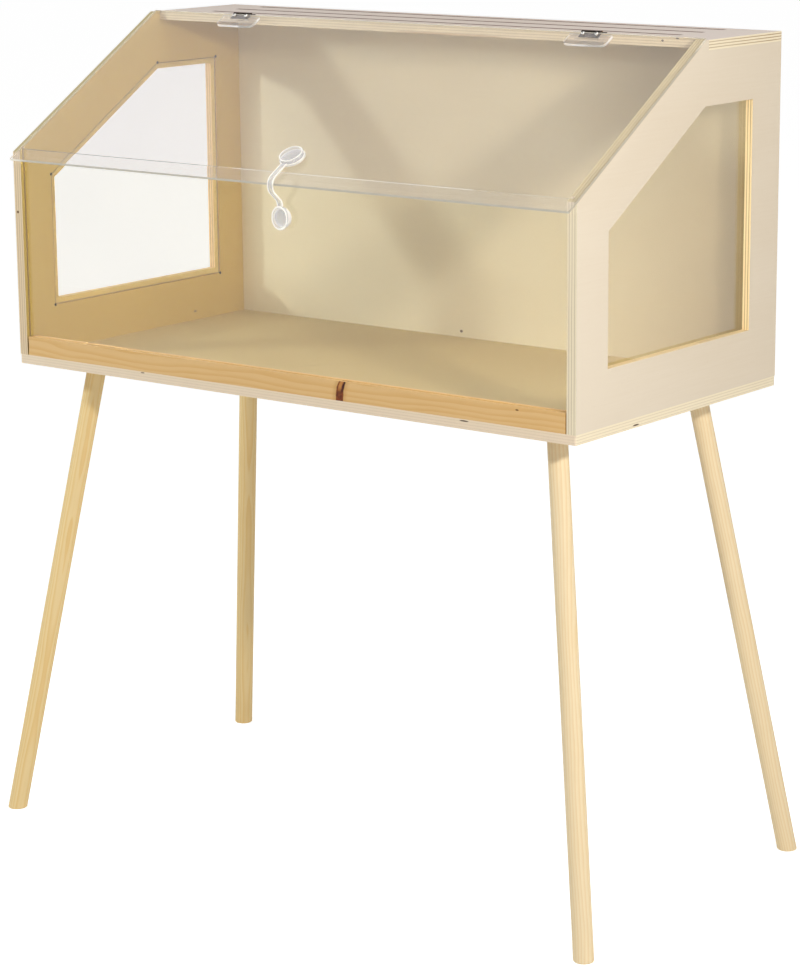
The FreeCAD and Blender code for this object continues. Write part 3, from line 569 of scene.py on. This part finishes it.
# The dark knot parts round an orange core towards the rail's top, and is darkest right of it
def addKnot(look, colour):
    knot = knotFinish
    near = look.vector("SUBTRACT", look.place(), knot["foot"])
    height = look.dot(near, up)
    ragged = look.noise(look.point(look.dot(near, right) * 300, 0, height * 220), detail=2)
    side = look.dot(near, right) - knot["bend"] * height * height * height
    side = (side + (ragged - 0.5) * knot["ragged"]) / knot["halfWidth"]
    tip = look.fade(height, knot["rounds"], knot["top"])
    share = look.size(look.point(side, tip, 0))
    onFront = look.fade(look.facing(-rear), 0.4, 0.8)
    raised = look.fade(height, knot["coreFrom"], knot["coreFull"])
    core = raised * look.fade(abs(side + 0.15), 0.62, 0.25) * look.fade(tip, 1.0, 0.6)
    dark = look.mix(look.fade(ragged, 0.4, 0.6) * 0.6, knot["dark"], knot["black"])
    dark = look.mix(raised * look.fade(side, 0.30, 0.52), dark, knot["black"])
    colour = look.mix(look.fade(share, 2.4, 0.9) * onFront * 0.45, colour, knot["halo"])
    colour = look.mix(look.fade(share, 1.12, 0.85) * onFront, colour, dark)
    return look.mix(core * onFront * 0.9, colour, knot["core"])


def railPine():
    look = newLook("rail_pine_honey")
    low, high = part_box("front_rail")
    middle = (low + high) / 2
    spot = look.vector("SUBTRACT", look.place(), middle + Vector(railFinish["pith"]))
    along, across, through = [look.dot(spot, axis) for axis in (right, rear, up)]
    colour, lateWood, fibre = streaks(look, along, across, through, railFinish["ringPitch"],
                                      railFinish["early"], railFinish["late"], 1.3)
    colour = addKnot(look, colour)
    colour = addMarks(look, colour, marks["front_rail"])
    return softwood(look, colour, lateWood, fibre, railFinish["roughness"])


def legPine(name, sideX, sideY, seed):
    look = newLook(name + "_pine")
    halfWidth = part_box("base_board")[1].x
    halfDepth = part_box("base_board")[1].y
    top = Vector((sideX * (halfWidth - legFinish["topInset"][0]),
                  sideY * (halfDepth - legFinish["topInset"][1]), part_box("base_board")[0].z))
    foot = Vector((top.x + sideX * legFinish["splay"][0], top.y + sideY * legFinish["splay"][1], 0))
    axis = (top - foot).normalized()
    across = Vector((0.6, -0.8 * sideX, 0)).cross(axis).normalized()
    through = axis.cross(across)
    pith = foot + across * legFinish["pithAway"]
    spot = look.vector("SUBTRACT", look.place(), pith)
    flows = [look.dot(spot, line) for line in (axis, across, through)]
    tone = "left" if sideX < 0 else "right"
    colour, lateWood, fibre = streaks(look, *flows, legFinish["ringPitch"],
                                      legFinish[tone + "Early"], legFinish[tone + "Late"], seed)
    knots = [{"at": place, "size": legFinish["knotSize"], "colour": legFinish["knotColour"]}
             for place in legFinish["knots"]]
    colour = addMarks(look, colour, knots)
    return softwood(look, colour, lateWood, fibre, legFinish["roughness"])


dress(railPine(), "front_rail")
seed = 0
for sideX, hand in ((-1, "left"), (1, "right")):
    for sideY, end in ((-1, "front"), (1, "back")):
        seed += 5.1
        name = f"leg_{end}_{hand}"
        dress(legPine(name, sideX, sideY, seed), name)
print("rail and legs finished")

# Clear acrylic sheet, 3 mm, with coloured cut edges; the lid's and plates' edges carry a painted glow
acrylicFinish = {
    "lid": {"tint": (0.90, 0.88, 0.89), "lampTint": (0.94, 0.93, 0.905), "reflects": 0.75},
    "pane": {"tint": (0.97, 0.965, 0.945), "lampTint": (0.94, 0.93, 0.905), "reflects": 0.06},
    "leftWindow": {"tint": (0.99, 0.985, 0.965), "lampTint": (0.92, 0.91, 0.89), "reflects": 0.06},
    # the right window's darker, warmer tint paints shade onto the back panel seen through it
    "rightWindow": {"tint": (0.95, 0.925, 0.87), "lampTint": (0.92, 0.91, 0.89), "reflects": 0.06},
    "edges": {
        # glow is painted light that brightens the cut edges
        "lid": {"colour": (0.84, 0.77, 0.64), "cover": 0.66, "glow": 0.12, "sides": (0.66, 0.56, 0.40)},
        "pane": {"colour": (0.80, 0.79, 0.74), "cover": 0.16, "glow": 0},
        "window": {"colour": (0.44, 0.29, 0.12), "cover": 0.75, "glow": 0},
        "plate": {"colour": (0.95, 0.91, 0.84), "cover": 0.38, "glow": 0.15},
    },
    "sawMark": (0.80, 0.78, 0.72),
    "edgeBevel": 0.0004,
    "seatGap": 0.00005,
    "refraction": 1.49,
}


# Clear plastic that lets the lamps through
def clearPlastic(name, finish):
    look = newLook(name + "_sheet")
    haze = look.noise(look.place(), scale=6)
    body = look.add("ShaderNodeBsdfPrincipled", {}, {
        "Base Color": finish["tint"],
        "Roughness": 0.012 * haze,
        "IOR": acrylicFinish["refraction"],
        "Specular IOR Level": finish["reflects"],
        "Transmission Weight": 1})
    clear = look.add("ShaderNodeBsdfTransparent", {}, {"Color": finish["lampTint"]})
    lamp = look.add("ShaderNodeLightPath", out="Is Shadow Ray")
    return look.finish(look.add("ShaderNodeMixShader", {}, {0: lamp, 1: body, 2: clear}))


def cutEdge(name):
    finish = acrylicFinish["edges"][name]
    look = newLook(name + "_cut_edge")
    saw = look.noise(look.place(), scale=700)
    onSide = look.fade(abs(look.facing(right)), 0.15, 0.45)
    colour = look.mix(onSide, finish["colour"], finish.get("sides", finish["colour"]))
    shader = look.add("ShaderNodeBsdfPrincipled", {}, {
        "Base Color": look.mix(look.fade(saw, 0.35, 0.7) * 0.3, colour, acrylicFinish["sawMark"]),
        "Roughness": 0.25 + 0.1 * saw,
        # painted glow of the cut edge
        "Emission Color": colour,
        "Emission Strength": finish["glow"],
        "Alpha": finish["cover"]})
    return look.finish(shader)


# A sheet with broken edges and a hair of air where it lies on the wood
def clearSheet(name, node, body, through, sheet, edge):
    shape = bmesh.new()
    shape.from_mesh(nodes[node].data)
    bmesh.ops.remove_doubles(shape, verts=shape.verts, dist=1e-6)
    bmesh.ops.dissolve_limit(shape, angle_limit=math.radians(1), verts=shape.verts, edges=shape.edges)
    shape.normal_update()
    for side in shape.faces:
        side.material_index = 0 if abs(side.normal.dot(through)) > 0.9 else 1
    sharp = [line for line in shape.edges if line.calc_face_angle(0) > math.radians(40)]
    bmesh.ops.bevel(shape, geom=sharp, offset=acrylicFinish["edgeBevel"], segments=1,
                    affect="EDGES", clamp_overlap=True, material=1)
    shape.normal_update()
    for corner in shape.verts:
        corner.co -= corner.normal * acrylicFinish["seatGap"]
    return newPiece(name, shape, [sheet, edge], body, "clear_acrylic", node, smooth=False)


lidSheet = clearPlastic("lid", acrylicFinish["lid"])
paneSheet = clearPlastic("pane", acrylicFinish["pane"])
lidEdge, paneEdge, windowCut, plateEdge = [cutEdge(name) for name in acrylicFinish["edges"]]
clearSheet("lid_clear", "lid_pane", "lid", lidOut, lidSheet, lidEdge)
clearSheet("front_clear", "front_pane", "cage", rear, paneSheet, paneEdge)
for side in ("left", "right"):
    windowSheet = clearPlastic(side + "_window", acrylicFinish[side + "Window"])
    clearSheet("window_clear_" + side, "window_pane_" + side, "cage", right, windowSheet, windowCut)
    clearSheet("hinge_plate_clear_" + side, "hinge_plate_" + side, "lid", lidOut, lidSheet, plateEdge)
print("clear sheets made")

# Metals
metals = {
    # the hinge nickel's dark colour is a painted reflection of dark surroundings
    "nickelPaintedDark": {"colour": (0.15, 0.12, 0.095), "shade": (0.06, 0.048, 0.038), "roughness": 0.24},
    "bright": {"colour": (0.88, 0.86, 0.83), "shade": (0.62, 0.60, 0.57), "roughness": 0.20},
    "zinc": {"colour": (0.66, 0.65, 0.62), "shade": (0.45, 0.44, 0.42), "roughness": 0.38},
    # black tacks, and painted shade in the screws' cross recesses
    "blackAndRecessShade": {"colour": (0.05, 0.04, 0.035), "shade": (0.025, 0.02, 0.018), "roughness": 0.42},
}
# Painted shade: the hinges' knuckles are darker within this reach of the pin
paintedKnuckleShade = {"colour": (0.020, 0.014, 0.010), "reach": 0.0028}


def metal(name):
    finish = metals[name]
    look = newLook(name + "_metal")
    brushed = look.noise(look.vector("MULTIPLY", look.place(), (300, 2600, 2600)),
                         detail=3, roughness=0.6)
    stain = look.noise(look.place(), scale=160, detail=3)
    colour = look.mix(look.fade(stain, 0.35, 0.75), finish["colour"], finish["shade"])
    if name == "nickelPaintedDark":
        # painted shade on the knuckles near the pin
        low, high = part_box("hinge_pin_left")
        away = look.vector("SUBTRACT", look.place(), (low + high) / 2)
        away = look.size(look.point(0, look.dot(away, rear), look.dot(away, up)))
        near = look.fade(away, paintedKnuckleShade["reach"], paintedKnuckleShade["reach"] * 0.75)
        colour = look.mix(near, colour, paintedKnuckleShade["colour"])
    shader = look.add("ShaderNodeBsdfPrincipled", {}, {
        "Base Color": colour,
        "Metallic": 1,
        "Roughness": finish["roughness"] + 0.15 * brushed,
        "Normal": look.bump(brushed, 0.15, 0.00005)})
    return look.finish(shader)


# Surface laid ring by ring; a ring of one point closes an end
def skin(shape, rings, materials):
    made = [[shape.verts.new(point) for point in ring] for ring in rings]
    for first, second, material in zip(made, made[1:], materials):
        for index in range(max(len(first), len(second))):
            corners = [first[index % len(first)], first[(index + 1) % len(first)],
                       second[(index + 1) % len(second)], second[index % len(second)]]
            shape.faces.new(list(dict.fromkeys(corners))).material_index = material


# Turned body from steps of (radius, height along the axis, material, lobes of the radius)
def turned(shape, steps, centre, axis, count, stretch=1):
    side = right if abs(axis.dot(right)) < 0.9 else rear
    along = axis.cross(side).normalized()
    across = along.cross(axis).normalized()
    rings = []
    for radius, height, material, lobe in steps:
        if radius == 0:
            rings.append([centre + axis * height])
            continue
        ring = []
        for step in range(count):
            angle = 2 * math.pi * step / count
            reach = radius * (1 + lobe * math.cos(4 * angle))
            ring.append(centre + axis * height + across * (reach * math.cos(angle))
                        + along * (reach * stretch * math.sin(angle)))
        rings.append(ring)
    skin(shape, rings, [step[2] for step in steps[1:]])


# Steps of an arc in a profile, from one angle to another in degrees
def arc(centre, radius, start, end, count, material=0):
    steps = []
    for step in range(count + 1):
        angle = math.radians(start + (end - start) * step / count)
        steps.append((centre[0] + radius * math.cos(angle),
                      centre[1] + radius * math.sin(angle), material, 0))
    return steps


# Sizes as shares of the head's radius or height, or of the shank's radius; lengths in metres
screwShape = {
    "dome": ((0.92, 1), (1, 0.8), (0.96, 0.5), (0.82, 0.2), (0.62, 0.05)),
    "crossSize": 0.42,
    "crossDeep": 0.45,
    "crossLobe": 0.45,
    "shank": 0.96,
    "shankSteps": 24,
    "threadDeep": 0.10,
    "point": 0.0003,
    "farApart": 0.006,
    "sides": 32,
}


# A point's distance from a line along an axis through another point
def aside(point, centre, axis):
    reach = point - centre
    return (reach - axis * reach.dot(axis)).length


# Corners of a node of several fasteners, one list for each of them
def fastenerCorners(node, axis):
    corners = [corner.co.copy() for corner in nodes[node].data.vertices]
    solids = []
    while corners:
        first = corners[0]
        solids.append([corner for corner in corners
                       if aside(corner, first, axis) < screwShape["farApart"]])
        corners = [corner for corner in corners if corner not in solids[-1]]
    return solids


# Fastener read from its CAD solid: a domed head with a cross recess, and a threaded shank
def makeFasteners(node, axis, headHeight, recess, material, body, slotName):
    shape = bmesh.new()
    for solid in fastenerCorners(node, axis):
        heights = [corner.dot(axis) for corner in solid]
        low, high = min(heights), max(heights)
        middle = sum(solid, Vector()) / len(solid)
        for line in (right, rear, up):
            flat = (line - axis * line.dot(axis)).normalized()
            reaches = [corner.dot(flat) for corner in solid]
            middle += flat * ((min(reaches) + max(reaches)) / 2 - middle.dot(flat))
        centre = middle - axis * middle.dot(axis) + axis * high
        head = max(aside(corner, centre, axis) for corner in solid)
        foot = [corner for corner in solid if corner.dot(axis) - low < 1e-5]
        shank = max(aside(corner, centre, axis) for corner in foot) * screwShape["shank"]
        point = screwShape["point"]
        thread = high - low - headHeight - point
        steps = [(0, low - high, 0, 0), (shank * 0.8, low - high, 0, 0)]
        for step in range(screwShape["shankSteps"] + 1):
            notch = screwShape["threadDeep"] if step % 2 else 0
            height = low - high + point + thread * step / screwShape["shankSteps"]
            steps.append((shank * (1 - notch), height, 0, 0))
        steps += [(head * wide, -headHeight * deep, 0, 0) for wide, deep in screwShape["dome"]]
        # the cross recess takes the second, black material as painted shade
        if recess:
            size = head * screwShape["crossSize"]
            deep = headHeight * screwShape["crossDeep"]
            lobe = screwShape["crossLobe"]
            steps += [(size, 0, 0, lobe * 0.9), (size * 0.9, -deep * 0.3, 1, lobe),
                      (size * 0.5, -deep, 1, lobe * 0.6), (0, -deep, 1, 0)]
        else:
            steps += [(head * 0.3, 0, 0, 0), (0, 0, 0, 0)]
        turned(shape, steps, centre, axis, screwShape["sides"])
    newPiece(node + "_turned", shape, [material, blackAndRecessShade], body, slotName, node)


nickelPaintedDark, bright, zinc, blackAndRecessShade = [metal(name) for name in metals]
for side in ("left", "right"):
    dress(nickelPaintedDark, "hinge_roof_leaf_" + side, "hinge_lid_leaf_" + side, "hinge_pin_" + side)
    dress(bright, "lid_leaf_nuts_" + side)
    makeFasteners("lid_leaf_bolts_" + side, lidOut, 0.0015, True, bright, "lid", "bright_screw")
    makeFasteners("roof_leaf_screws_" + side, up, 0.0012, True, bright, "cage", "bright_screw")
    inward = right if side == "left" else -right
    makeFasteners("window_tacks_" + side, inward, 0.0009, False, blackAndRecessShade, "cage", "dark_tack")
    for end in ("front", "back"):
        dress(zinc, f"leg_screw_{end}_{side}")
dress(zinc, "rail_screws", "side_screws", "back_nails")
dress(legPine("roof_dowels", 1, 1, 40), "roof_dowels")
print("metal finished")

# Strap lock of soft clear plastic: two discs, a cap, and a strap with its tab
latch = {
    "clear": {"colour": (0.86, 0.85, 0.88), "cover": 0.28, "skinCover": 0.55, "glow": 0},
    # glow: painted light on the thick rims and the beads
    "thick": {"colour": (0.98, 0.96, 0.96), "cover": 0.55, "skinCover": 0.85, "glow": 0.10},
    "bead": {"colour": (1.0, 0.95, 0.87), "cover": 0.92, "skinCover": 1, "glow": 0.18},
    "cloud": (0.9, 0.9, 0.92),
    "strapWidth": 0.0085,
    "overlap": 0.0006,  # of the strap's ends with the cap and the tab
    "webThick": 0.0011,
    "beadRadius": 0.00085,
    "strapRun": 0.021,
    "strapBend": 0.012,
    "returnBend": 0.008,
    "turnIn": math.radians(50),
    "tabWidth": 0.023,
    "tabHeight": 0.027,
    "tabThick": 0.0035,
    "capButton": 0.0075,
    "rimWide": 0.0008,
    "rimDeep": 0.0005,
    "edgeRound": 0.0008,
    "buttonEdge": ((0.0005, 0.0002), (0.0015, 0)),  # inwards and below the top
    "arcSteps": 14,
    "discSides": 56,
    "beadSides": 10,
}


# Soft plastic: whiter and closer where it is seen along its skin; its glow is painted light that lightens
# the thick parts and beads
def softPlastic(name):
    finish = latch[name]
    look = newLook("latch_" + name)
    grazing = look.add("ShaderNodeLayerWeight", {}, {"Blend": 0.35}, out="Facing")
    cloud = look.noise(look.place(), scale=260)
    more = finish["skinCover"] - finish["cover"]
    shader = look.add("ShaderNodeBsdfPrincipled", {}, {
        "Base Color": look.mix(look.fade(cloud, 0.3, 0.7) * 0.2, finish["colour"], latch["cloud"]),
        "Roughness": 0.16 + 0.06 * cloud,
        "Alpha": finish["cover"] + more * look.fade(grazing, 0.45, 0.95) + 0.05 * (cloud - 0.5),
        # painted glow
        "Emission Color": finish["colour"],
        "Emission Strength": finish["glow"],
        "Normal": look.bump(cloud, 0.1, 0.0001)})
    return look.finish(shader)


# Steps of a flat disc with a thin raised rim round its upper face; materials: 0 clear, 1 thick, 2 bead
def discSteps(radius, low, high, side, button=0):
    edge = min(latch["edgeRound"], (high - low) / 3)
    rim = latch["rimWide"]
    sunk = high - latch["rimDeep"]
    steps = [(0, low, 0, 0), (radius - edge, low, 0, 0)]
    steps += arc((radius - edge, low + edge), edge, -60, 0, 3, side)
    steps += arc((radius - edge, high - edge), edge, 0, 90, 5, side)
    steps[-3:] = [(*step[:2], 2, 0) for step in steps[-3:]]
    steps += [(radius - edge - rim, high, 2, 0), (radius - edge - rim * 1.5, sunk, 1, 0)]
    if button:
        steps.append((button, sunk, 0, 0))
        steps += [(button - inward, high - below, 0, 0) for inward, below in latch["buttonEdge"]]
    return steps + [(0, steps[-1][1], 0, 0)]


# Centre, radius and height range of a round CAD piece about an axis
def roundOf(node, axis):
    low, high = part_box(node)
    centre = (low + high) / 2
    corners = [corner.co for corner in nodes[node].data.vertices]
    radius = max(aside(corner, centre, axis) for corner in corners)
    heights = [(corner - centre).dot(axis) for corner in corners]
    return centre, radius, min(heights), max(heights)


# Turns a vector about X, from the front of the cage downwards
def turnedDown(vector, angle):
    return Matrix.Rotation(angle, 3, "X") @ vector


# Middle line of the strap from the cap to the tab, as (point, direction out of the strap's face)
def strapLine(tabCentre):
    joint = next(joint for joint in frame["joints"] if joint["name"] == "strap_bend")
    root = Vector(joint["pos_m"])
    down = lidOut.cross(right)
    down *= 1 if down.z < 0 else -1
    turn = math.pi / 2 - math.atan2(-lidOut.y, lidOut.z) + latch["turnIn"]
    line = [(root - down * latch["overlap"], lidOut.copy())]
    for step in range(1, 4):
        line.append((root + down * latch["strapRun"] * step / 4, lidOut.copy()))
    centre = root + down * latch["strapRun"] - lidOut * latch["strapBend"]
    for step in range(latch["arcSteps"] + 1):
        out = turnedDown(lidOut, turn * step / latch["arcSteps"])
        line.append((centre + out * latch["strapBend"], out))
    end, side = line[-1]
    inward = turnedDown(down, turn)
    shift = latch["returnBend"] * (1 - math.cos(latch["turnIn"]))
    begin = end + inward * ((tabCentre.y - end.y - shift) / inward.y)
    centre = begin + side * latch["returnBend"]
    for step in range(latch["arcSteps"] + 1):
        out = turnedDown(side, -latch["turnIn"] * step / latch["arcSteps"])
        line.append((centre - out * latch["returnBend"], out))
    tabTop = tabCentre.z + latch["tabHeight"] / 2 - latch["overlap"]
    line.append((Vector((root.x, tabCentre.y, tabTop)), line[-1][1]))
    return line


# A round bead along each side of the strap and a thin web between them
def addStrap(shape, line):
    half = latch["strapWidth"] / 2
    radius = latch["beadRadius"]
    angles = [2 * math.pi * step / latch["beadSides"] for step in range(latch["beadSides"])]
    for side in (-1, 1):
        middles = [point + right * side * (half - radius) for point, out in line]
        rings = [[middle + right * radius * math.cos(angle) + out * radius * math.sin(angle)
                  for angle in angles] for middle, (point, out) in zip(middles, line)]
        skin(shape, [middles[:1]] + rings + [middles[-1:]], [2] * (len(rings) + 1))
    inner = half - radius * 1.6
    thick = latch["webThick"] / 2
    corners = ((-inner, -thick), (inner, -thick), (inner, thick), (-inner, thick))
    rings = [[point + right * across + out * height for across, height in corners]
             for point, out in line]
    skin(shape, [[line[0][0]]] + rings + [[line[-1][0]]], [0] * (len(rings) + 1))


def makeLatch():
    plastics = [softPlastic(name) for name in ("clear", "thick", "bead")]
    for name, node, axis, body, slotName, side, button in (
            ("latch_base_on_lid", "latch_lid_base", lidOut, "lid", "latch_base", 1, 0),
            ("latch_cap_clear", "latch_cap", lidOut, "lid", "latch_strap", 0, latch["capButton"]),
            ("latch_base_on_pane", "latch_pane_base", -rear, "cage", "latch_base", 1, 0)):
        centre, radius, low, high = roundOf(node, axis)
        shape = bmesh.new()
        turned(shape, discSteps(radius, low, high, side, button), centre, axis, latch["discSides"])
        newPiece(name, shape, plastics, body, slotName, node)
    low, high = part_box("latch_pane_base")
    thick = latch["tabThick"]
    tabCentre = Vector(((low.x + high.x) / 2, low.y - thick / 2, (low.z + high.z) / 2))
    shape = bmesh.new()
    addStrap(shape, strapLine(tabCentre))
    turned(shape, discSteps(latch["tabWidth"] / 2, -thick / 2, thick / 2, 0), tabCentre, -rear,
           latch["discSides"], latch["tabHeight"] / latch["tabWidth"])
    newPiece("latch_strap_clear", shape, plastics, "strap", "latch_strap", "latch_strap")


makeLatch()
print("strap lock made")
